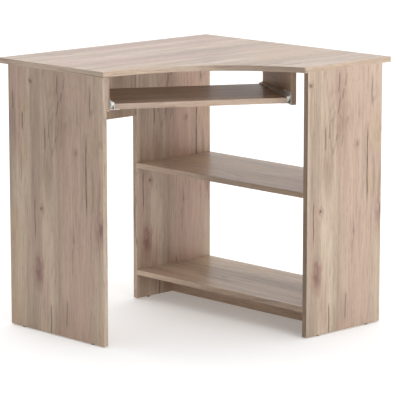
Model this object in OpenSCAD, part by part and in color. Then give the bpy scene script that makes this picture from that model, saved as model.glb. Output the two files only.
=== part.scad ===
// Corner computer desk with a keyboard tray that rolls out between two hanger boards.
// The desk is drawn in a room frame: the origin is the room's corner on the floor, x runs along
// the left wall, y along the right wall and z up. room() turns that into the part's own frame,
// whose origin is on the floor under the middle of the desktop's outer rectangle.

/* [Desktop] */
// Height of the desktop's upper face above the floor
desk_height = 750; // [680:1:950]
// Length of the desktop along the left wall
left_wing = 800; // [760:1:1100]
// Length of the desktop along the right wall
right_wing = 740; // [720:1:1000]
// Depth of the left wing's end, out from the left wall
left_depth = 437; // [400:1:500]
// Depth of the right wing's end, out from the right wall
right_depth = 346; // [330:1:450]
// How far the front edge curves in behind a straight line between the front corners
front_sagitta = 90; // [40:1:120]

/* [Boards] */
// Thickness of every board
board = 15; // [15:0.5:20]
// Thickness of the edge bands
band = 0.8; // [0.4:0.1:2]

/* [Panels] */
// Gap from the left wall to the left panel, the back rail and the inner panel
left_wall_gap = 43; // [20:1:60]
// Gap from the right wall to the right panel
right_wall_gap = 35; // [20:1:40]
// Gap from the right wall to the shelves and the inner panel
shelf_wall_gap = 39; // [20:1:60]
// How far the left panel's front edge sits behind the desktop's corner
left_panel_recess = 3.5; // [0:0.5:30]
// How far the right panel's front edge sits behind the desktop's corner
right_panel_recess = 13; // [0:0.5:30]
// Height of the back rail
rail_height = 190; // [120:1:260]

/* [Shelves] */
// Depth of the shelves and the inner panel
shelf_depth = 297; // [240:1:320]
// Height of the middle shelf's upper face
middle_shelf_height = 406; // [300:1:480]
// Height of the bottom shelf's upper face
bottom_shelf_height = 88.5; // [80:0.5:200]

/* [Keyboard tray] */
// Width of the tray board
tray_width = 480; // [400:1:500]
// Depth of the tray board
tray_depth = 290; // [240:1:300]
// Angle between the tray's front edge and the left wall
tray_turn = 30; // [20:1:45]
// Clear height from the tray up to the desktop
tray_clearance = 78.5; // [60:0.5:84]
// How far the closed tray's front edge is behind the line between the desktop's front corners
tray_setback = 76; // [40:1:120]
// How far the tray's middle is moved towards the right wing
tray_shift = 10; // [-20:1:20]
// Travel of the tray on its runners
tray_travel = 210; // [120:1:220]

/* [Hanger boards] */
// Height of the hanger boards
hanger_height = 100; // [97:1:140]
// Length of the hanger boards
hanger_length = 292; // [260:1:320]
// How far the hangers' front edges sit behind the closed tray's front edge
hanger_recess = 5.5; // [0:0.5:20]

/* [Runners] */
// Gap between the tray's side and the hanger, filled by the runner pair
runner_gap = 12.5; // [12.5:0.1:15]
// Sheet thickness of the runners
sheet = 1.2; // [1:0.1:1.5]
// Diameter of the nylon rollers
roller_diameter = 17; // [14:0.5:18]
// Width of the nylon rollers
roller_width = 4.6; // [4:0.1:5]
// Diameter of the roller pins
pin_diameter = 4; // [3:0.1:5]
// Width of the tray runner's flange under the tray
under_flange = 15; // [12:0.5:20]
// Length of the raised front ear of the fixed runner
ear_length = 75; // [40:1:90]
// Height of the ear above the tray's upper face
ear_height = 14.5; // [8:0.5:16]
// Distance from each runner end to its roller's axis
roller_inset = 14; // [12:0.5:20]

/* [Fittings] */
// Diameter of the cam locks
cam_diameter = 15; // [12:0.5:15]
// Depth of the cam locks in the board
cam_depth = 12; // [10:0.5:12]
// Distance from a joint face to the cam's axis
cam_inset = 24; // [24:1:34]
// Diameter of the wooden dowels
dowel_diameter = 8; // [6:0.5:8]
// Length of the wooden dowels
dowel_length = 30; // [25:1:35]
// Distance from a board's edge to its nearest cam lock
fitting_inset = 50; // [40:1:60]
// Distance from a cam lock to the dowel beside it
dowel_spacing = 32; // [20:1:40]
// Diameter of the runner screws' shanks
screw_diameter = 3.5; // [3:0.1:4]
// Length of the runner screws below the head
screw_length = 12; // [10:0.5:13]

/* [Glides] */
// Diameter of the floor glides
glide_diameter = 14; // [10:0.5:15]
// Height of the floor glides
glide_height = 3; // [2:0.5:8]
// Distance from a panel's ends to its glides
glide_inset = 50; // [30:1:80]

/* [Hidden] */
$fn = 48;

// Colours
oak = [0.69, 0.61, 0.54];
oak_edge = [0.66, 0.57, 0.49];
runner_white = [0.86, 0.86, 0.85];
nylon = [0.93, 0.93, 0.90];
zinc = [0.62, 0.63, 0.65];
beech = [0.80, 0.66, 0.47];
glide_grey = [0.16, 0.15, 0.15];

// Running clearances and small sizes
ease = 0.05;          // radial clearance of fasteners in their bores
pin_ease = 0.08;      // radial clearance of the rollers on their pins
roll_gap = 0.3;       // gap between a roller and the flange it carries
hold_down_gap = 0.8;  // play of the running flange under the fixed runner's top flange
bore_spare = 0.5;     // extra depth past the end of a fastener
cut = 1;              // overshoot of cutting shapes
arc_faces = 180;      // faces of the desktop's front arc

// Heights
panel_bottom = glide_height;
panel_top = desk_height - board;
panel_height = panel_top - panel_bottom;
tray_top = panel_top - tray_clearance;
tray_bottom = tray_top - board;
hanger_bottom = panel_top - hanger_height;
rail_bottom = panel_top - rail_height;
plinth_top = bottom_shelf_height - board;

// Board positions in the room frame
left_panel_x = left_wing - board;
left_panel_front = left_depth - left_panel_recess;
right_panel_y = right_wing - board;
right_panel_front = right_depth - right_panel_recess;
inner_face = left_wall_gap + board;
shelf_front = shelf_wall_gap + shelf_depth;
shelf_length = right_panel_y - inner_face;
rail_length = left_panel_x - shelf_front;
plinth_x = shelf_wall_gap + (shelf_depth - board) / 2;

// The front arc: a circle through both front corners
corner_left = [left_wing, left_depth];
corner_right = [right_depth, right_wing];
chord = corner_right - corner_left;
chord_length = norm(chord);
chord_middle = (corner_left + corner_right) / 2;
chord_out = [chord.y, -chord.x] / chord_length;
front_radius = (pow(chord_length / 2, 2) + pow(front_sagitta, 2)) / (2 * front_sagitta);
front_centre = chord_middle + chord_out * (front_radius - front_sagitta);

// The tray frame: x towards the left wing, y out towards the sitter, origin at the front edge
tray_out = [sin(tray_turn), cos(tray_turn)];
tray_right = [-cos(tray_turn), sin(tray_turn)];
tray_origin = chord_middle - tray_out * tray_setback + tray_right * tray_shift;
tray_side = tray_width / 2;
hanger_side = tray_side + runner_gap;

// Runner section, measured out from the tray's side and up from the floor
lip_gap = 1.9;            // from the running flange's lip to the fixed runner's web
floor_flange_gap = 1;     // from the tray runner's web to the fixed runner's floor flange
roller_side_play = 0.4;   // spare width kept beside the roller under the running flange
underside_rise = 0.2;     // of the fixed runner's underside over the tray runner's
roof_overlap = 3;         // of the roof flange over the running flange
running_flange_outer = runner_gap - sheet - lip_gap;
floor_flange_start = sheet + floor_flange_gap;
roller_start = (running_flange_outer - roller_side_play + floor_flange_start - roller_width) / 2;
roof_flange_start = running_flange_outer - roof_overlap;
under_flange_z = tray_bottom - sheet;
channel_floor = under_flange_z + underside_rise + sheet;
roller_axis_z = channel_floor + roll_gap + roller_diameter / 2;
running_flange_z = roller_axis_z + roller_diameter / 2 + roll_gap;
channel_roof = running_flange_z + sheet + hold_down_gap;
lip_drop = 2.6;
pin_head_overhang = 2;
pin_head_radius = pin_diameter / 2 + pin_head_overhang;
pin_head = 0.8;
end_play = 0.3;
roller_rim = 2;           // width of the raised rim round a roller's dished face
roller_hub = 1.5;         // wall of the raised hub round the pin's bore
roller_dish = 0.6;        // depth of the dished face
ear_round = 6;
front_tab_height = 7;
stop_height = 3;
stop_length = 4;
stop_spare = 1;           // left between the rear roller and its stop at full travel
rear_roller_y = roller_inset - tray_depth;
front_roller_y = -roller_inset;
stop_reach = sqrt(pow(roller_diameter / 2, 2) - pow(roller_diameter / 2 - stop_height, 2));
stop_y = rear_roller_y + tray_travel + stop_reach + stop_spare;

// Screws, placed along the runners from the tray's front edge
screw_head_radius = 3.4;
screw_head = 1.2;
screw_tip = 3;
screw_point = 0.6;
recess_arm = 3.6;
recess_slot = 0.8;
recess_depth = 0.7;
fixed_screw_ys = [-45, -tray_depth / 2, -tray_depth + 40];
tray_screw_ys = [-30, -tray_depth / 2 - 20, -tray_depth + 50];
tray_screw_x = tray_side - under_flange / 2;

// Cam fittings
cam_bolt_radius = 3;
cam_bolt_thread = 2.5;
cam_bolt_thread_length = 11;
cam_neck_radius = 1.9;
cam_neck_length = 4;
cam_bolt_head = 2;
cam_cavity_play = 0.2;
cam_cavity_radius = cam_bolt_radius + cam_cavity_play;
cam_head_gap = 1;         // from the bolt's head to the closed end of the cam's cavity
dowel_in_face = 10;
dowel_chamfer = 1.5;
glide_stem_radius = 1.6;
glide_stem_length = 12;
glide_chamfer = 1;

// Places of the fittings: [position in the joint face, tilt, spin].
// Local +z runs from the jointed edge into the facing board, +x to the face where the cam opens.
UP = [0, 0, 0];
TO_LEFT_WALL = [90, 0, 0];
TO_RIGHT_END = [-90, 0, 0];
TO_LEFT_END = [0, 90, 0];
TO_RIGHT_WALL = [0, -90, 0];

function pair(low, high, inset) = [low + inset, high - inset];

left_panel_cams = [for (y = pair(left_wall_gap, left_panel_front, fitting_inset))
    [[left_panel_x + board / 2, y, panel_top], UP, 180]];
left_panel_dowels = [for (y = pair(left_wall_gap, left_panel_front, fitting_inset + dowel_spacing))
    [[left_panel_x + board / 2, y, panel_top], UP, 0]];
right_panel_cams = [for (x = pair(right_wall_gap, right_panel_front, fitting_inset))
    [[x, right_panel_y + board / 2, panel_top], UP, -90]];
right_panel_dowels = [for (x = pair(right_wall_gap, right_panel_front, fitting_inset + dowel_spacing))
    [[x, right_panel_y + board / 2, panel_top], UP, 0]];
inner_panel_cams = [for (x = pair(shelf_wall_gap, shelf_front, fitting_inset))
    [[x, left_wall_gap + board / 2, panel_top], UP, -90]];
inner_panel_dowels = [for (x = pair(shelf_wall_gap, shelf_front, fitting_inset + dowel_spacing))
    [[x, left_wall_gap + board / 2, panel_top], UP, 0]];

rail_left_cams = [for (z = pair(rail_bottom, panel_top, fitting_inset))
    [[left_panel_x, left_wall_gap + board / 2, z], TO_LEFT_END, -90]];
rail_right_cams = [for (z = pair(rail_bottom, panel_top, fitting_inset))
    [[shelf_front, left_wall_gap + board / 2, z], TO_RIGHT_WALL, -90]];
rail_left_dowels = [[[left_panel_x, left_wall_gap + board / 2, (rail_bottom + panel_top) / 2],
    TO_LEFT_END, 0]];
rail_right_dowels = [[[shelf_front, left_wall_gap + board / 2, (rail_bottom + panel_top) / 2],
    TO_RIGHT_WALL, 0]];

function shelf_left_cams(top) = [for (x = pair(shelf_wall_gap, shelf_front, fitting_inset))
    [[x, inner_face, top - board / 2], TO_LEFT_WALL, -90]];
function shelf_right_cams(top) = [for (x = pair(shelf_wall_gap, shelf_front, fitting_inset))
    [[x, right_panel_y, top - board / 2], TO_RIGHT_END, 90]];
function shelf_left_dowels(top) = [
    for (x = pair(shelf_wall_gap, shelf_front, fitting_inset + dowel_spacing))
    [[x, inner_face, top - board / 2], TO_LEFT_WALL, 0]];
function shelf_right_dowels(top) = [
    for (x = pair(shelf_wall_gap, shelf_front, fitting_inset + dowel_spacing))
    [[x, right_panel_y, top - board / 2], TO_RIGHT_END, 0]];

plinth_middle = [plinth_x + board / 2, panel_bottom + (plinth_top - panel_bottom) / 2];
plinth_left_cams = [[[plinth_middle.x, inner_face, plinth_middle.y + dowel_spacing / 3],
    TO_LEFT_WALL, 180]];
plinth_right_cams = [[[plinth_middle.x, right_panel_y, plinth_middle.y + dowel_spacing / 3],
    TO_RIGHT_END, 180]];
plinth_left_dowels = [[[plinth_middle.x, inner_face, plinth_middle.y - dowel_spacing / 2],
    TO_LEFT_WALL, 0]];
plinth_right_dowels = [[[plinth_middle.x, right_panel_y, plinth_middle.y - dowel_spacing / 2],
    TO_RIGHT_END, 0]];

// side is 1 for the left hanger and -1 for the right one
function tray_point(x, y, z) = concat(tray_origin - tray_right * x + tray_out * y, [z]);
function hanger_cams(side) = [
    for (y = pair(-hanger_recess - hanger_length, -hanger_recess, fitting_inset))
    [tray_point(side * (hanger_side + board / 2), y, panel_top), UP,
        -tray_turn + (side > 0 ? 0 : 180)]];
function hanger_dowels(side) = [
    for (y = pair(-hanger_recess - hanger_length, -hanger_recess, fitting_inset + dowel_spacing))
    [tray_point(side * (hanger_side + board / 2), y, panel_top), UP, 0]];

top_cams = concat(left_panel_cams, right_panel_cams, inner_panel_cams, hanger_cams(1), hanger_cams(-1));
top_dowels = concat(left_panel_dowels, right_panel_dowels, inner_panel_dowels,
    hanger_dowels(1), hanger_dowels(-1));
inner_cams = concat(shelf_left_cams(middle_shelf_height), shelf_left_cams(bottom_shelf_height),
    plinth_left_cams);
inner_dowels = concat(shelf_left_dowels(middle_shelf_height), shelf_left_dowels(bottom_shelf_height),
    plinth_left_dowels);
end_cams = concat(shelf_right_cams(middle_shelf_height), shelf_right_cams(bottom_shelf_height),
    plinth_right_cams);
end_dowels = concat(shelf_right_dowels(middle_shelf_height), shelf_right_dowels(bottom_shelf_height),
    plinth_right_dowels);
all_cams = concat(top_cams, inner_cams, end_cams, rail_left_cams, rail_right_cams);
all_dowels = concat(top_dowels, inner_dowels, end_dowels, rail_left_dowels, rail_right_dowels);

// Glides: [x, y] under the three panels
glide_spots = concat(
    [for (y = pair(left_wall_gap, left_panel_front, glide_inset)) [left_panel_x + board / 2, y]],
    [for (x = pair(right_wall_gap, right_panel_front, glide_inset)) [x, right_panel_y + board / 2]],
    [for (x = pair(shelf_wall_gap, shelf_front, glide_inset)) [x, left_wall_gap + board / 2]]);

// ---- frames and placing

module room() {
    translate([left_wing / 2, right_wing / 2, 0])
        rotate([0, 0, 180])
            children();
}

module tray_frame() {
    room()
        translate([tray_origin.x, tray_origin.y, 0])
            rotate([0, 0, -tray_turn])
                children();
}

// The left side's runner parts are drawn on +x, and the right side mirrors them
module on_side(side) {
    if (side > 0) {
        children();
    } else {
        mirror([1, 0, 0])
            children();
    }
}

module at_each(places) {
    for (place = places)
        translate(place[0])
            rotate(place[1])
                rotate([0, 0, place[2]])
                    children();
}

// ---- fittings and the bores they sit in

module cross_recess() {
    for (turn = [0, 90])
        rotate([0, 0, turn])
            translate([-recess_arm / 2, -recess_slot / 2, -recess_depth])
                cube([recess_arm, recess_slot, recess_depth + cut]);
}

module cam() {
    radius = cam_diameter / 2 - ease;
    difference() {
        translate([board / 2 - cam_depth, 0, -cam_inset])
            rotate([0, 90, 0])
                cylinder(r = radius, h = cam_depth);
        translate([0, 0, -cam_inset - cam_bolt_radius])
            cylinder(r = cam_cavity_radius, h = cam_bolt_radius + radius + cut);
        translate([board / 2, 0, -cam_inset])
            rotate([0, 90, 0])
                cross_recess();
    }
}

module cam_bolt() {
    head_start = -cam_inset - cam_bolt_radius + cam_head_gap;
    neck_start = -cam_inset + cam_bolt_head;
    shank_start = neck_start + cam_neck_length;
    translate([0, 0, head_start])
        cylinder(r = cam_bolt_radius, h = neck_start - head_start);
    translate([0, 0, neck_start])
        cylinder(r = cam_neck_radius, h = cam_neck_length);
    translate([0, 0, shank_start])
        cylinder(r = cam_bolt_radius, h = -shank_start);
    cylinder(r = cam_bolt_thread - ease, h = cam_bolt_thread_length);
}

// Bores in the board whose edge is jointed
module cam_edge_bores(places) {
    at_each(places) {
        translate([board / 2 - cam_depth - bore_spare, 0, -cam_inset])
            rotate([0, 90, 0])
                cylinder(d = cam_diameter, h = cam_depth + bore_spare + cut);
        translate([0, 0, -cam_inset])
            cylinder(r = cam_bolt_radius + ease, h = cam_inset + cut);
    }
}

// Bores in the facing board
module cam_face_bores(places) {
    at_each(places)
        translate([0, 0, -cut])
            cylinder(r = cam_bolt_thread, h = cut + cam_bolt_thread_length + bore_spare);
}

module dowel() {
    radius = dowel_diameter / 2 - ease;
    translate([0, 0, dowel_in_face - dowel_length]) {
        cylinder(r1 = radius - dowel_chamfer / 2, r2 = radius, h = dowel_chamfer);
        translate([0, 0, dowel_chamfer])
            cylinder(r = radius, h = dowel_length - 2 * dowel_chamfer);
        translate([0, 0, dowel_length - dowel_chamfer])
            cylinder(r1 = radius, r2 = radius - dowel_chamfer / 2, h = dowel_chamfer);
    }
}

module dowel_edge_bores(places) {
    at_each(places)
        translate([0, 0, dowel_in_face - dowel_length - bore_spare])
            cylinder(d = dowel_diameter, h = dowel_length - dowel_in_face + bore_spare + cut);
}

module dowel_face_bores(places) {
    at_each(places)
        translate([0, 0, -cut])
            cylinder(d = dowel_diameter, h = cut + dowel_in_face + bore_spare);
}

// A screw along -z with its head's underside at z = 0
module screw() {
    difference() {
        cylinder(r = screw_head_radius, h = screw_head);
        translate([0, 0, screw_head])
            cross_recess();
    }
    translate([0, 0, screw_tip - screw_length])
        cylinder(d = screw_diameter, h = screw_length - screw_tip);
    translate([0, 0, -screw_length])
        cylinder(d1 = screw_point, d2 = screw_diameter, h = screw_tip);
}

module screw_bore() {
    translate([0, 0, -screw_length - bore_spare])
        cylinder(d = screw_diameter + 2 * ease, h = screw_length + bore_spare + cut);
}

module at_fixed_screws() {
    for (y = fixed_screw_ys)
        translate([hanger_side - sheet, y, roller_axis_z])
            rotate([0, -90, 0])
                children();
}

module at_tray_screws() {
    for (y = tray_screw_ys)
        translate([tray_screw_x, y, under_flange_z])
            rotate([180, 0, 0])
                children();
}

module glide_bores(spots) {
    for (spot = spots)
        translate([spot.x, spot.y, panel_bottom - cut])
            cylinder(r = glide_stem_radius + ease, h = glide_stem_length + bore_spare + cut);
}

// ---- desktop

module desktop_outline() {
    difference() {
        polygon([[0, 0], [left_wing, 0], corner_left, corner_right, [0, right_wing]]);
        translate(front_centre)
            circle(r = front_radius, $fn = arc_faces);
    }
}

module desktop_core_outline() {
    difference() {
        intersection() {
            desktop_outline();
            square([left_wing - band, right_wing - band]);
        }
        translate(front_centre)
            circle(r = front_radius + band, $fn = arc_faces);
    }
}

module desktop() {
    color(oak)
        room()
            difference() {
                translate([0, 0, panel_top])
                    linear_extrude(height = board)
                        desktop_core_outline();
                cam_face_bores(top_cams);
                dowel_face_bores(top_dowels);
            }
}

module desktop_edge_band() {
    color(oak_edge)
        room()
            translate([0, 0, panel_top])
                linear_extrude(height = board)
                    difference() {
                        desktop_outline();
                        desktop_core_outline();
                    }
}

// ---- panels

module left_panel() {
    color(oak)
        room()
            difference() {
                translate([left_panel_x, left_wall_gap, panel_bottom])
                    cube([board, left_panel_front - left_wall_gap - band, panel_height]);
                cam_edge_bores(left_panel_cams);
                dowel_edge_bores(left_panel_dowels);
                cam_face_bores(rail_left_cams);
                dowel_face_bores(rail_left_dowels);
                glide_bores(glide_spots);
            }
}

module left_panel_edge_band() {
    color(oak_edge)
        room()
            translate([left_panel_x, left_panel_front - band, panel_bottom])
                cube([board, band, panel_height]);
}

module right_panel() {
    color(oak)
        room()
            difference() {
                translate([right_wall_gap, right_panel_y, panel_bottom])
                    cube([right_panel_front - right_wall_gap - band, board, panel_height]);
                cam_edge_bores(right_panel_cams);
                dowel_edge_bores(right_panel_dowels);
                cam_face_bores(end_cams);
                dowel_face_bores(end_dowels);
                glide_bores(glide_spots);
            }
}

module right_panel_edge_band() {
    color(oak_edge)
        room()
            translate([right_panel_front - band, right_panel_y, panel_bottom])
                cube([band, board, panel_height]);
}

module inner_panel() {
    color(oak)
        room()
            difference() {
                translate([shelf_wall_gap, left_wall_gap, panel_bottom])
                    cube([shelf_depth - band, board, panel_height]);
                cam_edge_bores(inner_panel_cams);
                dowel_edge_bores(inner_panel_dowels);
                cam_face_bores(concat(inner_cams, rail_right_cams));
                dowel_face_bores(concat(inner_dowels, rail_right_dowels));
                glide_bores(glide_spots);
            }
}

module inner_panel_edge_band() {
    color(oak_edge)
        room()
            difference() {
                translate([shelf_front - band, left_wall_gap, panel_bottom])
                    cube([band, board, panel_height]);
                cam_face_bores(rail_right_cams);
                dowel_face_bores(rail_right_dowels);
            }
}

// ---- back rail, shelves and plinth

module back_rail() {
    color(oak)
        room()
            difference() {
                translate([shelf_front, left_wall_gap, rail_bottom + band])
                    cube([rail_length, board, rail_height - band]);
                cam_edge_bores(concat(rail_left_cams, rail_right_cams));
                dowel_edge_bores(concat(rail_left_dowels, rail_right_dowels));
            }
}

module back_rail_edge_band() {
    color(oak_edge)
        room()
            translate([shelf_front, left_wall_gap, rail_bottom])
                cube([rail_length, board, band]);
}

module shelf(top) {
    color(oak)
        room()
            difference() {
                translate([shelf_wall_gap, inner_face, top - board])
                    cube([shelf_depth - band, shelf_length, board]);
                cam_edge_bores(concat(shelf_left_cams(top), shelf_right_cams(top)));
                dowel_edge_bores(concat(shelf_left_dowels(top), shelf_right_dowels(top)));
            }
}

module shelf_edge_band(top) {
    color(oak_edge)
        room()
            translate([shelf_front - band, inner_face, top - board])
                cube([band, shelf_length, board]);
}

module middle_shelf() {
    shelf(middle_shelf_height);
}

module middle_shelf_edge_band() {
    shelf_edge_band(middle_shelf_height);
}

module bottom_shelf() {
    shelf(bottom_shelf_height);
}

module bottom_shelf_edge_band() {
    shelf_edge_band(bottom_shelf_height);
}

module plinth() {
    color(oak)
        room()
            difference() {
                translate([plinth_x, inner_face, panel_bottom])
                    cube([board, shelf_length, plinth_top - panel_bottom]);
                cam_edge_bores(concat(plinth_left_cams, plinth_right_cams));
                dowel_edge_bores(concat(plinth_left_dowels, plinth_right_dowels));
            }
}

// ---- hanger boards

module hanger(side) {
    color(oak)
        difference() {
            tray_frame()
                on_side(side)
                    difference() {
                        translate([hanger_side, -hanger_recess - hanger_length, hanger_bottom])
                            cube([board, hanger_length - band, hanger_height]);
                        at_fixed_screws()
                            screw_bore();
                    }
            room() {
                cam_edge_bores(hanger_cams(side));
                dowel_edge_bores(hanger_dowels(side));
            }
        }
}

module hanger_edge_band(side) {
    color(oak_edge)
        tray_frame()
            on_side(side)
                translate([hanger_side, -hanger_recess - band, hanger_bottom])
                    cube([board, band, hanger_height]);
}

module left_hanger() {
    hanger(1);
}

module left_hanger_edge_band() {
    hanger_edge_band(1);
}

module right_hanger() {
    hanger(-1);
}

module right_hanger_edge_band() {
    hanger_edge_band(-1);
}

// ---- keyboard tray

module keyboard_tray() {
    color(oak)
        tray_frame()
            difference() {
                translate([-tray_side, -tray_depth, tray_bottom])
                    cube([tray_width, tray_depth - band, board]);
                for (side = [1, -1])
                    on_side(side)
                        at_tray_screws()
                            screw_bore();
            }
}

module keyboard_tray_edge_band() {
    color(oak_edge)
        tray_frame()
            translate([-tray_side, -band, tray_bottom])
                cube([tray_width, band, board]);
}

// ---- runners

module fixed_runner(side) {
    color(runner_white)
        tray_frame()
            on_side(side)
                difference() {
                    translate([tray_side, -tray_depth, 0]) {
                        // web, floor flange and roof flange of the C section
                        translate([runner_gap - sheet, 0, channel_floor - sheet])
                            cube([sheet, tray_depth, channel_roof + 2 * sheet - channel_floor]);
                        translate([floor_flange_start, 0, channel_floor - sheet])
                            cube([runner_gap - floor_flange_start, tray_depth, sheet]);
                        translate([roof_flange_start, 0, channel_roof])
                            cube([runner_gap - roof_flange_start, tray_depth, sheet]);
                        // raised ear at the front
                        translate([runner_gap - sheet, tray_depth - ear_length, channel_roof])
                            ear();
                        // pressed stop for the rear roller
                        translate([floor_flange_start, tray_depth + stop_y, channel_floor])
                            cube([roller_start + roller_width - floor_flange_start, stop_length, stop_height]);
                    }
                    at_fixed_screws()
                        screw_bore();
                    translate([hanger_side - sheet - cut, front_roller_y, roller_axis_z])
                        rotate([0, 90, 0])
                            cylinder(d = pin_diameter + 2 * ease, h = sheet + 2 * cut);
                }
}

module ear() {
    ear_rise = tray_top + ear_height - channel_roof;
    difference() {
        cube([sheet, ear_length, ear_rise]);
        // rounded front and rear corners
        for (end = [0, 1])
            translate([-cut, end * ear_length, ear_rise])
                mirror([0, end, 0])
                    difference() {
                        translate([0, -cut, -ear_round])
                            cube([sheet + 2 * cut, ear_round + cut, ear_round + cut]);
                        translate([-cut, ear_round, -ear_round])
                            rotate([0, 90, 0])
                                cylinder(r = ear_round, h = sheet + 4 * cut);
                    }
    }
}

module tray_runner(side) {
    color(runner_white)
        tray_frame()
            on_side(side)
                difference() {
                    translate([tray_side, -tray_depth, 0]) {
                        // flange under the tray
                        translate([-under_flange, 0, under_flange_z])
                            cube([under_flange + sheet, tray_depth, sheet]);
                        // web beside the tray
                        translate([0, 0, under_flange_z])
                            cube([sheet, tray_depth, running_flange_z + sheet - under_flange_z]);
                        // flange that runs on the front roller, with its turned-down lip
                        translate([0, 0, running_flange_z])
                            cube([running_flange_outer, tray_depth, sheet]);
                        translate([running_flange_outer - sheet, 0, running_flange_z - lip_drop])
                            cube([sheet, tray_depth, lip_drop + sheet]);
                        // front tab that stops the tray against the front roller
                        translate([0, tray_depth - sheet, running_flange_z - front_tab_height])
                            cube([running_flange_outer - sheet, sheet, front_tab_height + sheet]);
                    }
                    at_tray_screws()
                        screw_bore();
                    translate([tray_side - cut, rear_roller_y, roller_axis_z])
                        rotate([0, 90, 0])
                            cylinder(d = pin_diameter + 2 * ease, h = sheet + 2 * cut);
                }
}

module left_fixed_runner() {
    fixed_runner(1);
}

module right_fixed_runner() {
    fixed_runner(-1);
}

module left_tray_runner() {
    tray_runner(1);
}

module right_tray_runner() {
    tray_runner(-1);
}

// ---- rollers and their pins

module roller(side, y) {
    color(nylon)
        tray_frame()
            on_side(side)
                translate([tray_side + roller_start, y, roller_axis_z])
                    rotate([0, 90, 0])
                        difference() {
                            cylinder(d = roller_diameter, h = roller_width);
                            translate([0, 0, -cut])
                                cylinder(d = pin_diameter + 2 * pin_ease, h = roller_width + 2 * cut);
                            // dished faces
                            for (z = [-cut, roller_width - roller_dish])
                                translate([0, 0, z])
                                    dish();
                        }
}

// The ring cut from a roller's face between its rim and its hub
module dish() {
    difference() {
        cylinder(d = roller_diameter - 2 * roller_rim, h = roller_dish + cut);
        translate([0, 0, -cut])
            cylinder(d = pin_diameter + 2 * roller_hub, h = roller_dish + 3 * cut);
    }
}

module left_front_roller() {
    roller(1, front_roller_y);
}

module right_front_roller() {
    roller(-1, front_roller_y);
}

module left_rear_roller() {
    roller(1, rear_roller_y);
}

module right_rear_roller() {
    roller(-1, rear_roller_y);
}

// A pin along +z: shank in the web, shoulder, journal and head. web_gap is the free length
// between the web and the roller
module roller_pin(web_gap) {
    cylinder(d = pin_diameter, h = sheet + web_gap + roller_width + end_play);
    translate([0, 0, sheet])
        cylinder(r = pin_head_radius, h = web_gap - end_play);
    translate([0, 0, sheet + web_gap + roller_width + end_play])
        cylinder(r = pin_head_radius, h = pin_head);
}

module front_roller_pins() {
    color(zinc)
        tray_frame()
            for (side = [1, -1])
                on_side(side)
                    translate([hanger_side, front_roller_y, roller_axis_z])
                        rotate([0, -90, 0])
                            roller_pin(runner_gap - sheet - roller_start - roller_width);
}

module rear_roller_pins() {
    color(zinc)
        tray_frame()
            for (side = [1, -1])
                on_side(side)
                    translate([tray_side, rear_roller_y, roller_axis_z])
                        rotate([0, 90, 0])
                            roller_pin(roller_start - sheet);
}

// ---- fasteners and glides

module fixed_runner_screws() {
    color(zinc)
        tray_frame()
            for (side = [1, -1])
                on_side(side)
                    at_fixed_screws()
                        screw();
}

module tray_runner_screws() {
    color(zinc)
        tray_frame()
            for (side = [1, -1])
                on_side(side)
                    at_tray_screws()
                        screw();
}

module cam_locks() {
    color(zinc)
        room()
            at_each(all_cams)
                cam();
}

module cam_bolts() {
    color(zinc)
        room()
            at_each(all_cams)
                cam_bolt();
}

module wooden_dowels() {
    color(beech)
        room()
            at_each(all_dowels)
                dowel();
}

module floor_glides() {
    color(glide_grey)
        room()
            for (spot = glide_spots)
                translate([spot.x, spot.y, 0]) {
                    cylinder(d1 = glide_diameter - 2 * glide_chamfer, d2 = glide_diameter, h = glide_chamfer);
                    translate([0, 0, glide_chamfer])
                        cylinder(d = glide_diameter, h = glide_height - glide_chamfer);
                    translate([0, 0, glide_height])
                        cylinder(r = glide_stem_radius, h = glide_stem_length);
                }
}

desktop();
desktop_edge_band();
left_panel();
left_panel_edge_band();
right_panel();
right_panel_edge_band();
inner_panel();
inner_panel_edge_band();
back_rail();
back_rail_edge_band();
middle_shelf();
middle_shelf_edge_band();
bottom_shelf();
bottom_shelf_edge_band();
plinth();
left_hanger();
left_hanger_edge_band();
right_hanger();
right_hanger_edge_band();
keyboard_tray();
keyboard_tray_edge_band();
left_fixed_runner();
right_fixed_runner();
left_tray_runner();
right_tray_runner();
left_front_roller();
right_front_roller();
left_rear_roller();
right_rear_roller();
front_roller_pins();
rear_roller_pins();
fixed_runner_screws();
tray_runner_screws();
cam_locks();
cam_bolts();
wooden_dowels();
floor_glides();
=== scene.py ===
"""Corner computer desk with a keyboard tray: materials, edges, floor, light and camera
round the CAD frame."""

import math

import bmesh
import bpy
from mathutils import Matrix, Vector

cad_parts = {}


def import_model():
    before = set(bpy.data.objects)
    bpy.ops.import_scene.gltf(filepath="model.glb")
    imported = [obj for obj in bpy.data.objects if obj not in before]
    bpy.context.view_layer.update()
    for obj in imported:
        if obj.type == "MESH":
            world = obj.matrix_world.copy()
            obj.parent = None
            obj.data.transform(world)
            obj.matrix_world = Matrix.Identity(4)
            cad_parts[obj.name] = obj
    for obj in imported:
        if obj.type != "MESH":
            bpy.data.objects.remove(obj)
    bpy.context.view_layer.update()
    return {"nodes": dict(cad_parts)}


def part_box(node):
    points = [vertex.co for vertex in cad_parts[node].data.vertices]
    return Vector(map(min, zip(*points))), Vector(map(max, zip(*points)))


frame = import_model()
NODES = frame["nodes"]
SCENE = bpy.context.scene
SIDES = ("left", "right")

# Boards by the axis of their thickness
BOARD_AXIS = {
    "desktop": 2,
    "left_panel": 0,
    "right_panel": 1,
    "inner_panel": 1,
    "back_rail": 1,
    "middle_shelf": 2,
    "bottom_shelf": 2,
    "plinth": 0,
    "keyboard_tray": 2,
}


# ---- node helpers


def srgb(r, g, b):
    """Linear colour of an sRGB triple given as 0-255."""

    def lin(c):
        c /= 255
        return c / 12.92 if c <= 0.04045 else ((c + 0.055) / 1.055) ** 2.4

    return (lin(r), lin(g), lin(b), 1.0)


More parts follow.
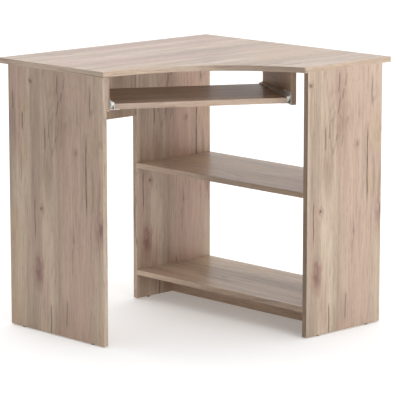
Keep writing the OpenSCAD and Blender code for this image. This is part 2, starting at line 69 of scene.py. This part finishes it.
class Graph:
    """Terse building of a node tree. A value is a number, a vector or another node's socket."""

    def __init__(self, tree):
        self.tree = tree

    def add(self, kind, inputs=(), out=0, **props):
        n = self.tree.nodes.new(kind)
        for k, v in props.items():
            setattr(n, k, v)
        items = inputs.items() if isinstance(inputs, dict) else enumerate(inputs)
        for k, v in items:
            if v is not None:
                self.put(n.inputs[k], v)
        return n.outputs[out]

    def put(self, socket, value):
        if isinstance(value, bpy.types.NodeSocket):
            self.tree.links.new(value, socket)
        else:
            socket.default_value = value

    def math(self, op, a, b=None):
        return self.add("ShaderNodeMath", (a, b), operation=op)

    def mul(self, a, b):
        return self.math("MULTIPLY", a, b)

    def plus(self, a, b):
        return self.math("ADD", a, b)

    def minus(self, a, b):
        return self.math("SUBTRACT", a, b)

    def larger(self, a, b):
        return self.math("MAXIMUM", a, b)

    def size(self, a):
        return self.math("ABSOLUTE", a)

    def dot(self, a, b):
        return self.add("ShaderNodeVectorMath", (a, b), out=1, operation="DOT_PRODUCT")

    def vec(self, x, y, z):
        return self.add("ShaderNodeCombineXYZ", (x, y, z))

    def split(self, v):
        n = self.tree.nodes.new("ShaderNodeSeparateXYZ")
        self.put(n.inputs[0], v)
        return n.outputs

    def object_place(self):
        return self.add("ShaderNodeTexCoord", out=3)

    def noise(self, vector, scale=1.0, detail=2.0, rough=0.5):
        inputs = {"Vector": vector, "Scale": scale, "Detail": detail, "Roughness": rough}
        return self.add("ShaderNodeTexNoise", inputs)

    def step(self, value, low, high, to_low=0.0, to_high=1.0):
        """Smooth step of value from low to high."""
        inputs = (value, low, high, to_low, to_high)
        return self.add("ShaderNodeMapRange", inputs, interpolation_type="SMOOTHSTEP")

    def line(self, value, low, high, to_low=0.0, to_high=1.0):
        """Straight ramp of value from low to high, held at both ends."""
        return self.add("ShaderNodeMapRange", (value, low, high, to_low, to_high))

    def mix(self, fac, a, b, blend="MIX"):
        n = self.tree.nodes.new("ShaderNodeMix")
        n.data_type = "RGBA"
        n.blend_type = blend
        self.put(n.inputs[0], fac)
        self.put(n.inputs[6], a)
        self.put(n.inputs[7], b)
        return n.outputs[2]

    def ramp(self, fac, stops):
        n = self.tree.nodes.new("ShaderNodeValToRGB")
        cr = n.color_ramp
        while len(cr.elements) < len(stops):
            cr.elements.new(1.0)
        for e, (pos, colour) in zip(cr.elements, stops):
            e.position = pos
            e.color = colour
        self.put(n.inputs[0], fac)
        return n.outputs[0]

    def grey(self, value):
        return self.add("ShaderNodeCombineColor", (value, value, value))

    def bump(self, height, strength, distance):
        inputs = {"Strength": strength, "Distance": distance, "Height": height}
        return self.add("ShaderNodeBump", inputs)


def material(name, roughness=0.5, metallic=0.0, specular=0.5):
    """A Principled material with its constants on the shader's own sockets."""
    m = bpy.data.materials.new(name)
    m.use_nodes = True
    tree = m.node_tree
    tree.nodes.clear()
    out = tree.nodes.new("ShaderNodeOutputMaterial")
    shader = tree.nodes.new("ShaderNodeBsdfPrincipled")
    tree.links.new(shader.outputs[0], out.inputs[0])
    shader.inputs["Roughness"].default_value = roughness
    shader.inputs["Metallic"].default_value = metallic
    shader.inputs["Specular IOR Level"].default_value = specular
    shader.inputs["IOR"].default_value = 1.5
    return m, Graph(tree), shader


# ---- the oak decor

# Marks of the printed sheet, in metres across from its left edge and down from its top.
# Knots: across, down, half width, half height, strength of the core and of the reddish halo
KNOTS = [
    (0.094, 0.037, 0.006, 0.007, 0.7, 0.3),
    (0.136, 0.388, 0.008, 0.007, 0.9, 0.4),
    (0.122, 0.568, 0.012, 0.028, 0.40, 1.0),
    (0.381, 0.412, 0.012, 0.026, 0.55, 0.8),
    (0.281, 0.216, 0.007, 0.009, 0.45, 0.3),
    (0.269, 0.458, 0.004, 0.007, 0.35, 0.3),
]
# Cracks: across, top, bottom, half width, strength, and lean as across per along
CRACKS = [
    (0.322, 0.150, 0.400, 0.0020, 0.95, 0.0),
    (0.106, 0.350, 0.480, 0.0018, 0.80, 0.0),
    (0.058, 0.120, 0.180, 0.0024, 0.70, 0.0),
    (0.205, 0.005, 0.070, 0.0020, 0.60, -0.06),
    (0.153, 0.150, 0.230, 0.0024, 0.65, 0.0),
    (0.172, 0.640, 0.760, 0.0024, 0.75, 0.0),
    (0.238, 0.620, 0.710, 0.0020, 0.60, -0.04),
    (0.016, 0.065, 0.128, 0.0020, 0.60, 0.0),
    (0.050, 0.240, 0.330, 0.0014, 0.45, 0.0),
    (0.262, 0.470, 0.560, 0.0014, 0.45, 0.0),
    (0.233, 0.010, 0.052, 0.0022, 0.42, -0.24),
    (0.222, 0.052, 0.088, 0.0026, 0.45, -0.20),
    (0.206, 0.078, 0.128, 0.0026, 0.45, -0.18),
    (0.186, 0.110, 0.150, 0.0018, 0.45, -0.30),
    (0.196, 0.176, 0.200, 0.0022, 0.45, -0.50),
    (0.168, 0.145, 0.193, 0.0020, 0.50, -0.05),
    (0.218, 0.180, 0.220, 0.0018, 0.40, -0.27),
]
# Patches of brown, reddish and yellowish tone: across, down, half width, half height
BROWNS = [
    (0.215, 0.130, 0.045, 0.120),
    (0.318, 0.250, 0.016, 0.110),
    (0.020, 0.160, 0.014, 0.110),
    (0.160, 0.280, 0.030, 0.090),
    (0.230, 0.680, 0.026, 0.060),
]
REDS = [
    (0.180, 0.430, 0.010, 0.050),
    (0.205, 0.100, 0.022, 0.090),
    (0.215, 0.250, 0.024, 0.080),
    (0.150, 0.640, 0.030, 0.100),
    (0.335, 0.440, 0.012, 0.030),
]
GOLDS = [
    (0.070, 0.120, 0.030, 0.070),
    (0.065, 0.240, 0.026, 0.060),
    (0.355, 0.190, 0.030, 0.080),
    (0.345, 0.330, 0.030, 0.060),
]
# The flame figure: across, down, half width, half height, and the number of rings
FLAME = (0.195, 0.190, 0.034, 0.100, 6.0)

LIGHT_OAK = srgb(202, 180, 159)
MID_OAK = srgb(181, 158, 137)
GREY_OAK = srgb(157, 137, 120)
PINK_OAK = srgb(184, 152, 136)
GOLD_OAK = srgb(186, 160, 131)
BROWN_OAK = srgb(156, 130, 111)
DARK_CRACK = srgb(84, 63, 51)
DARK_FIBRE = srgb(118, 96, 82)
RED_KNOT = srgb(140, 96, 86)

# Noises of the decor: cycles per metre across and along, and a shift added to the seed
WANDER = (5.0, 1.3, 0.0)
JAG = (60.0, 16.0, 0.0)
RAG = (90.0, 40.0, 6.1)
BREADTH = (13.0, 0.5, 0.0)
HUE = (9.0, 1.8, 7.3)
LIVELINESS = (6.0, 2.2, 2.6)
STREAK = (60.0, 3.4, 0.0)
RING = (7.0, 1.5, 3.1)
RING_PATCH = (6.0, 3.0, 9.7)
FIBRE = (420.0, 11.0, 0.0)
DASH = (230.0, 24.0, 4.4)
PORE = (950.0, 40.0, 0.0)
CONTOUR = (24.0, 1.0, 5.9)
CONTOUR_PATCH = (14.0, 5.5, 1.7)
SWELL = (30.0, 26.0, 8.2)

# How far the noises move things, in metres
GRAIN_WANDER = 0.022
CRACK_WANDER = 0.012
CRACK_JAG = 0.006

# How ragged the marks' outlines are, in half widths
KNOT_RAGGED = 2.2
PATCH_RAGGED = 1.2
FLAME_RAGGED = 0.5

# The grain bends round a knot within an oval this many times the knot's width and height
BEND_WIDTH = 3.2
BEND_HEIGHT = 4.5
BEND = 0.7

RINGS = 24.0  # over the full range of their noise
CRACK_EDGE = (1.7, 0.5)  # half widths at which a crack is gone, and is at its full depth
CRACK_END = 0.55  # share of a crack's half length after which it fades

# How strongly each part shows, from 0 to 1
HUE_SHOWS = 0.65
PATCH_SHOWS = 0.6
DARK_STREAK_SHOWS = 0.52
PALE_STREAK_SHOWS = 0.38
FIGURE_SHOWS = 0.40
FLAME_SHOWS = 0.75
FIBRE_SHOWS = 0.30
DASH_SHOWS = 0.26
PORE_SHOWS = 0.28
THIN_CRACK_SHOWS = 0.62


def decor_group():
    """Node group of the decor: across and along in metres, a seed that moves the random part,
    and marks, which is 1 where the sheet carries the marks listed above."""
    tree = bpy.data.node_groups.new("oak_decor", "ShaderNodeTree")
    face = tree.interface
    for label in ("Across", "Along", "Seed", "Marks"):
        face.new_socket(label, in_out="INPUT", socket_type="NodeSocketFloat")
    face.new_socket("Color", in_out="OUTPUT", socket_type="NodeSocketColor")
    face.new_socket("Height", in_out="OUTPUT", socket_type="NodeSocketFloat")
    face.new_socket("Rough", in_out="OUTPUT", socket_type="NodeSocketFloat")
    g = Graph(tree)
    source = tree.nodes.new("NodeGroupInput").outputs
    across, along, seed, marks = source[0], source[1], source[2], source[3]

    def grain(a, kind, detail=2.0, rough=0.5):
        per_m_across, per_m_along, shift = kind
        where = g.vec(
            g.mul(a, per_m_across), g.mul(along, per_m_along), g.plus(seed, shift)
        )
        return g.noise(where, detail=detail, rough=rough)

    def oval(centre_a, centre_l, half_a, half_l, ragged):
        """Distance from a centre, 1 at the oval's edge, which the noises make ragged."""
        na = g.plus(g.mul(g.minus(across, centre_a), 1 / half_a), g.mul(jag, ragged))
        nl = g.plus(g.mul(g.minus(along, centre_l), 1 / half_l), g.mul(rag, ragged))
        return g.math("SQRT", g.plus(g.mul(na, na), g.mul(nl, nl)))

    # gentle wander of the grain, then its bending round the knots
    wander = grain(across, WANDER, detail=1)
    a = g.plus(across, g.mul(g.minus(wander, 0.5), GRAIN_WANDER))
    jag = g.minus(grain(across, JAG, detail=3, rough=0.65), 0.5)
    rag = g.minus(grain(across, RAG, detail=3, rough=0.65), 0.5)
    bend, core, halo = 0.0, 0.0, 0.0
    for ka, kl, half_a, half_l, dark, red in KNOTS:
        r = oval(ka, kl, half_a, half_l, KNOT_RAGGED)
        core = g.larger(g.step(r, 1.1, 0.3, 0.0, dark), core)
        halo = g.larger(g.step(r, 2.6, 0.7, 0.0, red), halo)
        near = oval(ka, kl, half_a * BEND_WIDTH, half_l * BEND_HEIGHT, 0.0)
        pull = g.step(near, 1.0, 0.0, 0.0, BEND)
        bend = g.plus(g.mul(g.minus(across, ka), pull), bend)
    a = g.minus(a, g.mul(bend, marks))

    # broad bands of tone and hue
    colour = g.ramp(
        grain(a, BREADTH, detail=3, rough=0.6),
        [(0.32, GREY_OAK), (0.44, MID_OAK), (0.54, LIGHT_OAK), (0.68, MID_OAK)],
    )
    hue = grain(a, HUE, detail=3)
    colour = g.mix(g.step(hue, 0.52, 0.64, 0.0, HUE_SHOWS), colour, PINK_OAK)
    colour = g.mix(g.step(hue, 0.48, 0.36, 0.0, HUE_SHOWS), colour, GOLD_OAK)
    for patches, tone in ((BROWNS, BROWN_OAK), (REDS, PINK_OAK), (GOLDS, GOLD_OAK)):
        cover = 0.0
        for pa, pl, half_a, half_l in patches:
            r = oval(pa, pl, half_a, half_l, PATCH_RAGGED)
            cover = g.larger(g.step(r, 1.2, 0.1, 0.0, PATCH_SHOWS), cover)
        colour = g.mix(g.mul(cover, marks), colour, tone)

    # streaks, which come and go, and are quieter low down on a marked sheet
    lively = g.step(grain(a, LIVELINESS, detail=2), 0.38, 0.64, 0.12, 1.0)
    calm = g.mul(g.step(along, 0.34, 0.52, 0.0, 0.5), marks)
    lively = g.mul(lively, g.minus(1.0, calm))
    streak = grain(a, STREAK, detail=5, rough=0.68)
    dark_streak = g.mul(g.step(streak, 0.50, 0.34, 0.0, DARK_STREAK_SHOWS), lively)
    colour = g.mix(dark_streak, colour, DARK_FIBRE)
    colour = g.mix(g.step(streak, 0.54, 0.70, 0.0, PALE_STREAK_SHOWS), colour, LIGHT_OAK)

    # growth rings in random patches, and the marked flame figure
    ring = g.math("PINGPONG", g.mul(grain(a, RING, detail=1), RINGS), 1.0)
    where = g.step(grain(a, RING_PATCH, detail=1), 0.56, 0.68, 0.0, FIGURE_SHOWS)
    figure = g.mul(g.step(ring, 0.80, 1.0), where)
    fa, fl, half_a, half_l, rings = FLAME
    r = g.plus(oval(fa, fl, half_a, half_l, FLAME_RAGGED), g.mul(wander, 0.9))
    lines = g.step(g.math("PINGPONG", g.mul(r, rings), 1.0), 0.66, 1.0)
    sides = g.step(g.size(g.minus(across, fa)), 0.002, half_a * 0.7)
    spread = g.mul(g.step(r, 1.9, 1.0), g.step(lively, 0.3, 0.8, 0.2, FLAME_SHOWS))
    flame = g.mul(lines, g.mul(spread, sides))
    figure = g.larger(figure, g.mul(flame, marks))
    colour = g.mix(figure, colour, DARK_FIBRE)

    # fibres, dashes and pores
    fibre = grain(a, FIBRE, detail=3, rough=0.6)
    colour = g.mix(g.step(fibre, 0.52, 0.34, 0.0, FIBRE_SHOWS), colour, DARK_FIBRE)
    dash = g.step(grain(a, DASH, detail=2), 0.57, 0.68, 0.0, DASH_SHOWS)
    colour = g.mix(g.mul(dash, lively), colour, DARK_CRACK)
    pores = g.step(grain(a, PORE, detail=1), 0.60, 0.70)
    colour = g.mix(g.mul(pores, PORE_SHOWS), colour, DARK_CRACK)

    # cracks: thin contours along the grain in patches, then the marked ones
    contour = grain(a, CONTOUR, detail=1)
    thin = g.step(g.size(g.minus(contour, 0.5)), 0.014, 0.0)
    patch = grain(a, CONTOUR_PATCH, detail=3)
    dark = g.mul(thin, g.step(patch, 0.55, 0.66, 0.0, THIN_CRACK_SHOWS))
    swell = g.plus(grain(a, SWELL, detail=2), 0.45)
    wavy = g.plus(across, g.mul(g.minus(wander, 0.5), CRACK_WANDER))
    for ca, top, bottom, half, depth, lean in CRACKS:
        middle, reach = (top + bottom) / 2, (bottom - top) / 2
        line = g.plus(g.mul(g.minus(along, middle), lean), ca)
        off = g.size(g.plus(g.minus(wavy, line), g.mul(jag, CRACK_JAG)))
        gone, full = CRACK_EDGE
        narrow = g.step(g.math("DIVIDE", off, swell), half * gone, half * full)
        away = g.size(g.minus(along, middle))
        short = g.step(away, reach, reach * CRACK_END, 0.0, depth)
        dark = g.larger(g.mul(g.mul(narrow, short), marks), dark)
    stain = g.mul(g.mul(halo, marks), g.step(rag, -0.22, 0.14, 0.25, 0.85))
    colour = g.mix(stain, colour, RED_KNOT)
    dark = g.larger(g.mul(core, marks), dark)
    colour = g.mix(dark, colour, DARK_CRACK)

    height = g.minus(g.mul(fibre, 0.35), g.plus(g.mul(pores, 0.6), g.mul(dark, 0.9)))
    rough = g.plus(g.mul(streak, 0.10), g.mul(pores, 0.12))
    sink = tree.nodes.new("NodeGroupOutput")
    for socket, value in zip(sink.inputs, (colour, height, rough)):
        g.put(socket, value)
    return tree


FLAKES_PER_M = 420.0
FLAKE_CLOUDS_PER_M = 160.0


def chipboard(g, position):
    """Raw chipboard: pressed flakes of mixed tone. Returns colour and height."""
    cells = g.tree.nodes.new("ShaderNodeTexVoronoi")
    cells.inputs["Scale"].default_value = FLAKES_PER_M
    g.put(cells.inputs["Vector"], position)
    tone = g.split(cells.outputs["Color"])[0]
    cloud = g.noise(position, scale=FLAKE_CLOUDS_PER_M, detail=3)
    colour = g.ramp(
        g.plus(g.mul(tone, 0.6), g.mul(cloud, 0.4)),
        [
            (0.15, srgb(122, 92, 62)),
            (0.40, srgb(168, 136, 98)),
            (0.65, srgb(196, 166, 128)),
            (0.90, srgb(214, 190, 152)),
        ],
    )
    return colour, cells.outputs["Distance"]


DECOR = decor_group()
DECOR_ROUGHNESS = 0.27
DECOR_BUMP = 0.35
DECOR_BUMP_DEPTH = 0.0004
CHIPBOARD_ROUGHNESS = 0.45  # more than the decor's


def toned(g, colour, place, tones):
    """The colour times a tone that runs between (place, tone) pairs."""
    start, end = tones[0][0], tones[-1][0]
    stops = [((spot - start) / (end - start), (t, t, t, 1)) for spot, t in tones]
    tone = g.ramp(g.line(place, start, end), stops)
    return g.mix(1.0, colour, tone, blend="MULTIPLY")


def laminate(
    name,
    across,
    along,
    seed,
    marks=0.0,
    raw_across=None,
    tint=None,
    tones=None,
    side_tones=None,
    gloss=0.5,
):
    """Oak laminate. across and along read the sheet's coordinates, in metres, from the object's.
    Where raw_across is a direction, faces that don't look along it show raw chipboard, as the
    board's unbanded edges do. The tint and the two lists of tones are painted light and shade:
    factors on the decor's colour that bring the board to its shade in the photograph; the tones
    are pairs of a place along or across the sheet and its tone there."""
    m, g, shader = material(name, specular=gloss)
    coord = g.tree.nodes.new("ShaderNodeTexCoord")
    position = coord.outputs["Object"]
    xyz = g.split(position)
    side, run = across(g, xyz), along(g, xyz)
    decor = g.tree.nodes.new("ShaderNodeGroup")
    decor.node_tree = DECOR
    for socket, value in zip(decor.inputs, (side, run, seed, marks)):
        g.put(socket, value)
    colour, height = decor.outputs[0], decor.outputs[1]
    rough = g.plus(decor.outputs[2], DECOR_ROUGHNESS)
    if tint:
        colour = g.mix(1.0, colour, (*tint, 1), blend="MULTIPLY")
    if tones:
        colour = toned(g, colour, run, tones)
    if side_tones:
        colour = toned(g, colour, side, side_tones)
    if raw_across is not None:
        facing = g.size(g.dot(coord.outputs["Normal"], raw_across))
        raw = g.step(facing, 0.55, 0.35)
        flakes, grit = chipboard(g, position)
        colour = g.mix(raw, colour, flakes)
        height = g.mix(raw, g.grey(height), g.grey(grit))
        rough = g.plus(g.mul(raw, CHIPBOARD_ROUGHNESS), rough)
    g.put(shader.inputs["Base Color"], colour)
    g.put(shader.inputs["Roughness"], rough)
    g.put(shader.inputs["Normal"], g.bump(height, DECOR_BUMP, DECOR_BUMP_DEPTH))
    return m


def at(index, origin=0.0, sign=1.0):
    """Reads a coordinate off one object axis, from origin, in the direction of sign."""

    def read(g, xyz):
        return g.mul(g.minus(xyz[index], origin), sign)

    return read


def turned(direction, origin=(0.0, 0.0)):
    """Reads a coordinate along a level direction, from a point."""

    def read(g, xyz):
        part = g.plus(g.mul(xyz[0], direction[0]), g.mul(xyz[1], direction[1]))
        return g.minus(part, origin[0] * direction[0] + origin[1] * direction[1])

    return read


def dress(node, mat):
    mesh = NODES[node].data
    mesh.materials.clear()
    mesh.materials.append(mat)
    for poly in mesh.polygons:
        poly.material_index = 0


def board(node, across, along, seed, raw_across=None, **look):
    """Dresses a board in oak, with raw chipboard on the edges that have no band."""
    if raw_across is None:
        raw_across = [float(i == BOARD_AXIS[node]) for i in range(3)]
    mat = laminate(f"{node}_oak", across, along, seed, raw_across=raw_across, **look)
    dress(node, mat)


def band(node, along, across, seed, **look):
    """Dresses an edge band in the same decor."""
    dress(node, laminate(f"{node}_oak", across, along, seed, **look))


# The three uprights are cut from the same sheet, the right and inner ones from this far in
CROP = 0.083
PANEL_SEED = 1.3

left_panel, right_panel, inner_panel = (
    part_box(f"{name}_panel") for name in ("left", "right", "inner")
)
down = at(2, left_panel[1].z, -1.0)
from_back = at(1, 0.4, -1.0)

# Each board: where its sheet starts across and along, and the seed of its grain

# Painted light and shade on the three uprights: the left panel darkened, and darker near its
# top; the right panel lighter near its top; the inner panel lightened, darker just under the
# desktop and lower down, and darker over one half of its width.
board(
    "left_panel",
    at(1, left_panel[1].y, -1.0),
    down,
    PANEL_SEED,
    marks=1.0,
    tint=(0.90, 0.893, 0.865),
    tones=[(0.0, 0.92), (0.36, 0.99), (0.735, 1.12)],
)
board(
    "right_panel",
    at(0, right_panel[0].x - CROP),
    down,
    PANEL_SEED,
    marks=1.0,
    tint=(1.0, 1.035, 1.04),
    tones=[(0.0, 1.06), (0.36, 1.0), (0.735, 0.93)],
)
board(
    "inner_panel",
    at(0, inner_panel[0].x - CROP),
    down,
    PANEL_SEED,
    marks=1.0,
    tint=(1.10, 1.12, 1.14),
    tones=[(0.0, 0.94), (0.08, 1.17), (0.28, 1.14), (0.40, 0.97), (0.735, 0.99)],
    side_tones=[(0.083, 0.87), (0.20, 0.88), (0.29, 1.13), (0.40, 1.13)],
)
# Painted light and shade on these boards: the desktop and shelves lightened with a cool cast,
# the back rail darkened.
board("desktop", at(1, 0.37, -1.0), at(0, -0.42), 4.1, tint=(1.05, 1.04, 1.10))
board("back_rail", at(0, -0.6), down, 2.2, tint=(0.82, 0.80, 0.80))
board("middle_shelf", at(0), from_back, 6.4, tint=(1.15, 1.20, 1.26), gloss=0.32)
board("bottom_shelf", at(0, 0.3), from_back, 8.8, tint=(1.10, 1.14, 1.18), gloss=0.28)
board("plinth", at(2), from_back, 3.7)

# The tray and its hangers are turned to the front edge's chord
TRAY_TURN = math.radians(30)
tray_right = (math.cos(TRAY_TURN), -math.sin(TRAY_TURN))
tray_back = (math.sin(TRAY_TURN), math.cos(TRAY_TURN))
TRAY_ORIGIN = (-0.05, -0.03)
over_tray = turned(tray_right, TRAY_ORIGIN)
into_tray = turned(tray_back, TRAY_ORIGIN)
board("keyboard_tray", into_tray, over_tray, 5.5)
for side in SIDES:
    board(f"{side}_hanger", at(2, 0.6), into_tray, 2.9, raw_across=(*tray_right, 0.0))

# Painted light and shade along the shelf bands: lighter at the end by the inner panel, darker
# towards the right panel
MIDDLE_BAND_PAINTED_SHADING = [(0.09, 1.28), (0.18, 1.24), (0.33, 1.14), (0.41, 0.76), (0.76, 0.70)]
BOTTOM_BAND_PAINTED_SHADING = [(0.09, 1.42), (0.34, 1.36), (0.42, 1.14), (0.76, 1.10)]
# The desktop has one strip on its left end, one round the arc and one on its right end. Their
# tones are painted light and shade, darker on the left end and over the right part of the arc
TOP_BAND_PAINTED_SHADING = [
    (-0.54, 0.80),
    (-0.296, 0.78),
    (-0.290, 1.0),
    (-0.17, 0.98),
    (-0.03, 0.84),
    (0.06, 0.64),
    (0.252, 0.62),
    (0.258, 1.0),
    (0.54, 1.02),
]

# The tints on the bands are painted light and shade: the right panel's edge band darkened most,
# as painted shade on an edge facing into the desk.
band("left_panel_edge_band", down, at(0, -0.4), 11.0, tint=(0.90, 0.93, 0.97))
band("right_panel_edge_band", down, at(1, -0.37), 12.0, tint=(0.55, 0.53, 0.51))
band("inner_panel_edge_band", down, at(1, 0.3), 13.0)
band("back_rail_edge_band", at(0, -0.4), at(1, 0.3), 14.0)
band("middle_shelf_edge_band", from_back, at(2, 0.39), 15.0, tones=MIDDLE_BAND_PAINTED_SHADING)
band("bottom_shelf_edge_band", from_back, at(2, 0.07), 16.0, tones=BOTTOM_BAND_PAINTED_SHADING)
band("keyboard_tray_edge_band", over_tray, at(2, 0.64), 17.0, tint=(0.87, 0.86, 0.90))
band("left_hanger_edge_band", down, over_tray, 18.0)
band("right_hanger_edge_band", down, over_tray, 19.0)
round_front = turned((0.83, -0.56))
band("desktop_edge_band", round_front, at(2, 0.735), 20.0, tones=TOP_BAND_PAINTED_SHADING)


# ---- metal, plastic and bare wood


def clouded(g, shader, cloud, dark, pale, spread=(0.3, 0.7)):
    """Base colour that drifts between two tones with a noise."""
    stops = [(spread[0], srgb(*dark)), (spread[1], srgb(*pale))]
    g.put(shader.inputs["Base Color"], g.ramp(cloud, stops))


def worn(g, shader, noise, polished, dull):
    """Roughness that drifts between two values with a noise."""
    g.put(shader.inputs["Roughness"], g.line(noise, 0.3, 0.7, polished, dull))


def pitted(g, shader, noise, strength, depth):
    """Fine relief from a noise."""
    g.put(shader.inputs["Normal"], g.bump(noise, strength, depth))


def powder_coat():
    m, g, shader = material("runner_powder_coat")
    place = g.object_place()
    grain = g.noise(place, scale=900.0, detail=3)
    cloud = g.noise(place, scale=30.0, detail=3)
    clouded(g, shader, cloud, (222, 222, 219), (235, 235, 232))
    worn(g, shader, grain, 0.30, 0.46)
    pitted(g, shader, grain, 0.25, 0.0002)
    return m


def nylon():
    m, g, shader = material("roller_nylon")
    cloud = g.noise(g.object_place(), scale=180.0, detail=4)
    clouded(g, shader, cloud, (226, 224, 212), (240, 239, 230))
    worn(g, shader, cloud, 0.36, 0.50)
    pitted(g, shader, cloud, 0.1, 0.0002)
    shader.inputs["Subsurface Weight"].default_value = 0.12
    shader.inputs["Subsurface Radius"].default_value = (0.002, 0.002, 0.0015)
    shader.inputs["Subsurface Scale"].default_value = 0.5
    return m


def zinc():
    m, g, shader = material("zinc_plate", metallic=1.0)
    place = g.object_place()
    spangle = g.noise(place, scale=420.0, detail=4)
    cloud = g.noise(place, scale=90.0, detail=3)
    clouded(g, shader, cloud, (168, 172, 178), (203, 206, 208))
    worn(g, shader, spangle, 0.24, 0.44)
    pitted(g, shader, spangle, 0.12, 0.0001)
    return m


def beech():
    m, g, shader = material("dowel_beech", roughness=0.62)
    place = g.object_place()
    rays = g.noise(place, scale=600.0, detail=4)
    tone = g.noise(place, scale=60.0, detail=3)
    colour = g.ramp(tone, [(0.3, srgb(196, 158, 112)), (0.7, srgb(221, 186, 142))])
    colour = g.mix(g.step(rays, 0.5, 0.35, 0.0, 0.3), colour, srgb(158, 116, 76))
    g.put(shader.inputs["Base Color"], colour)
    pitted(g, shader, rays, 0.3, 0.0003)
    return m


def dark_plastic():
    m, g, shader = material("glide_plastic")
    place = g.object_place()
    grain = g.noise(place, scale=1400.0, detail=3)
    dust = g.noise(place, scale=150.0, detail=3)
    clouded(g, shader, dust, (38, 34, 32), (62, 57, 54), spread=(0.3, 0.75))
    worn(g, shader, dust, 0.42, 0.62)
    pitted(g, shader, grain, 0.3, 0.0002)
    return m


COAT, NYLON, ZINC = powder_coat(), nylon(), zinc()
for side in SIDES:
    dress(f"{side}_fixed_runner", COAT)
    dress(f"{side}_tray_runner", COAT)
    dress(f"{side}_front_roller", NYLON)
    dress(f"{side}_rear_roller", NYLON)
for node in (
    "front_roller_pins",
    "rear_roller_pins",
    "fixed_runner_screws",
    "tray_runner_screws",
    "cam_locks",
    "cam_bolts",
):
    dress(node, ZINC)
dress("wooden_dowels", beech())
dress("floor_glides", dark_plastic())


# ---- softened edges

# Width of the softened edge in metres, by the ending of the node's name, first match first
EDGE_WIDTHS = (
    (("edge_band",), 0.0002),
    (("hanger", *BOARD_AXIS), 0.0004),
    (("runner",), 0.00018),
    (("roller", "floor_glides"), 0.0003),
    (("pins", "screws", "cam_locks"), 0.00012),
)
SAME_POINT = 0.00001
SHARP = math.radians(30)


def soften(node, width):
    o = NODES[node]
    o.modifiers.new("weld", "WELD").merge_threshold = SAME_POINT
    bevel = o.modifiers.new("soft_edges", "BEVEL")
    bevel.width = width
    bevel.segments = 2
    bevel.limit_method = "ANGLE"
    bevel.angle_limit = SHARP
    bevel.harden_normals = True
    bevel.use_clamp_overlap = True


# ---- floor, light and camera

FLOOR_HALF = 60.0
FLOOR_GLOW = 0.20

# Soft distant lights: the direction each shines from, its strength and its width in degrees
LIGHTS = {
    "key": ((-0.04, -0.80, 0.60), 0.60, 50),
    "fill": ((-0.14, -0.985, 0.06), 1.95, 40),
    "top": ((0.1, 0.1, 1.0), 2.15, 90),
}
LIGHT_DISTANCE = 5  # only for the view in Blender's window

# The pale room is bright behind the desk and dimmer in front
BEHIND = (0.69, 0.72, 0.0)
ROOM_FRONT = 0.08
ROOM_BACK = 0.88
SEEN_WHITE = 1.05

CAMERA_PLACE = (-4.657, -4.865, 1.602)
CAMERA_YAW = math.radians(46.13)
CAMERA_PITCH = math.radians(-10.56)
CAMERA_LENS = 220.0


def link(name, data):
    o = bpy.data.objects.new(name, data)
    SCENE.collection.objects.link(o)
    return o


def floor():
    bm = bmesh.new()
    bmesh.ops.create_grid(bm, x_segments=8, y_segments=8, size=FLOOR_HALF)
    mesh = bpy.data.meshes.new("studio_floor")
    bm.to_mesh(mesh)
    bm.free()
    m, g, shader = material("studio_white", roughness=0.9, specular=0.0)
    shader.inputs["Emission Color"].default_value = (1, 1, 1, 1)
    shader.inputs["Emission Strength"].default_value = FLOOR_GLOW
    cloud = g.noise(g.object_place(), scale=2.0, detail=2)
    stops = [(0.3, (0.89, 0.89, 0.89, 1)), (0.7, (0.90, 0.90, 0.90, 1))]
    g.put(shader.inputs["Base Color"], g.ramp(cloud, stops))
    mesh.materials.append(m)
    link("studio_floor", mesh)


def sun(name, direction, strength, width):
    data = bpy.data.lights.new(name, "SUN")
    data.energy = strength
    data.angle = math.radians(width)
    o = link(name, data)
    o.rotation_mode = "QUATERNION"
    o.rotation_quaternion = Vector(direction).normalized().to_track_quat("Z", "Y")
    o.location = Vector(direction).normalized() * LIGHT_DISTANCE


def world():
    """The room as it lights the desk, and plain white where the camera sees it."""
    w = bpy.data.worlds.new("studio")
    SCENE.world = w
    w.use_nodes = True
    tree = w.node_tree
    tree.nodes.clear()
    g = Graph(tree)
    out = tree.nodes.new("ShaderNodeOutputWorld")
    behind = g.dot(g.add("ShaderNodeTexCoord"), BEHIND)
    room = tree.nodes.new("ShaderNodeBackground")
    g.put(room.inputs[0], g.grey(g.step(behind, 0.0, 0.80, ROOM_FRONT, ROOM_BACK)))
    room.inputs[1].default_value = 1.0
    white = tree.nodes.new("ShaderNodeBackground")
    white.inputs[0].default_value = (1, 1, 1, 1)
    white.inputs[1].default_value = SEEN_WHITE
    seen = g.add("ShaderNodeLightPath")
    shown = g.add("ShaderNodeMixShader", (seen, room.outputs[0], white.outputs[0]))
    g.put(out.inputs[0], shown)


def camera():
    data = bpy.data.cameras.new("camera")
    data.lens = CAMERA_LENS
    data.sensor_width = 36.0
    data.clip_start, data.clip_end = 0.1, 200.0
    o = link("camera", data)
    o.location = CAMERA_PLACE
    level = math.cos(CAMERA_PITCH)
    ahead = Vector(
        (
            level * math.cos(CAMERA_YAW),
            level * math.sin(CAMERA_YAW),
            math.sin(CAMERA_PITCH),
        )
    )
    o.rotation_euler = ahead.to_track_quat("-Z", "Y").to_euler()
    SCENE.camera = o


floor()
world()
for name, (direction, strength, width) in LIGHTS.items():
    sun(name, direction, strength, width)
camera()
SCENE.view_settings.view_transform = "Standard"
SCENE.view_settings.look = "None"

for node in NODES:
    width = next((w for ends, w in EDGE_WIDTHS if node.endswith(ends)), None)
    if width:
        soften(node, width)
